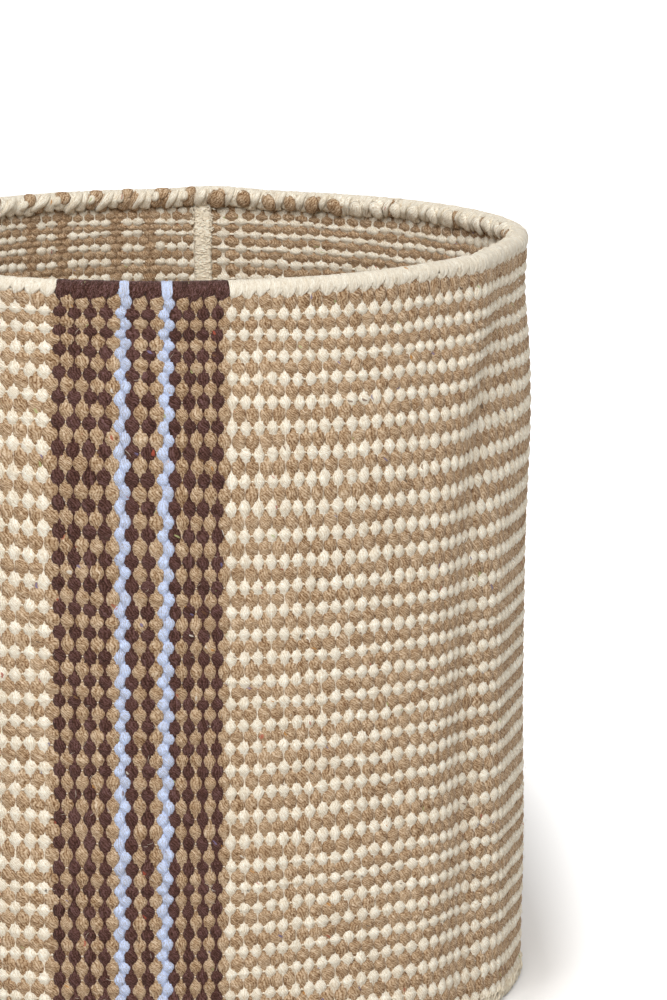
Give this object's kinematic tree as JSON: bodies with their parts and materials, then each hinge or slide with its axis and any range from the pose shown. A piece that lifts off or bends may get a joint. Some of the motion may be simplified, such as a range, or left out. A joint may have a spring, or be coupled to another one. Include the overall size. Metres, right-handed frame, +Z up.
{
  "type": "woven basket",
  "caption": "Round open storage basket of thick striped cotton cloth with a rolled, corded rim and a whipped lower edge, standing on its flat bottom.",
  "frame": {"origin": "on the floor, under the middle of the basket", "axes": "+Z up from the floor to the rim; the brown and blue stripe faces -Y, turned a little towards -X"},
  "size_m": [0.3043, 0.3031, 0.3299],
  "materials": {
    "cream_and_tan_cloth": "matt, warp-faced weave of cream and tan cotton yarn",
    "brown_stripe_cloth": "matt, warp-faced weave of dark brown and tan cotton yarn",
    "blue_yarn": "matt, pale blue cotton yarn",
    "cream_yarn": "matt, undyed cotton yarn with loose fibres",
    "rim_cord_cotton": "matt twisted cotton cord"
  },
  "bodies": {
    "root": {"brown_warps_left": "brown_stripe_cloth", "blue_warps_left": "blue_yarn", "brown_warps_middle": "brown_stripe_cloth", "blue_warps_right": "blue_yarn", "brown_warps_right": "brown_stripe_cloth", "field_warps_right": "cream_and_tan_cloth", "side_seam": "cream_yarn", "pinstripe_warps": "cream_and_tan_cloth", "field_warps_left": "cream_and_tan_cloth", "rim_cord": "rim_cord_cotton", "turned_in_ends": "cream_yarn", "base_binding": "cream_yarn", "base_cloth": "cream_and_tan_cloth"}
  },
  "joints": []
}
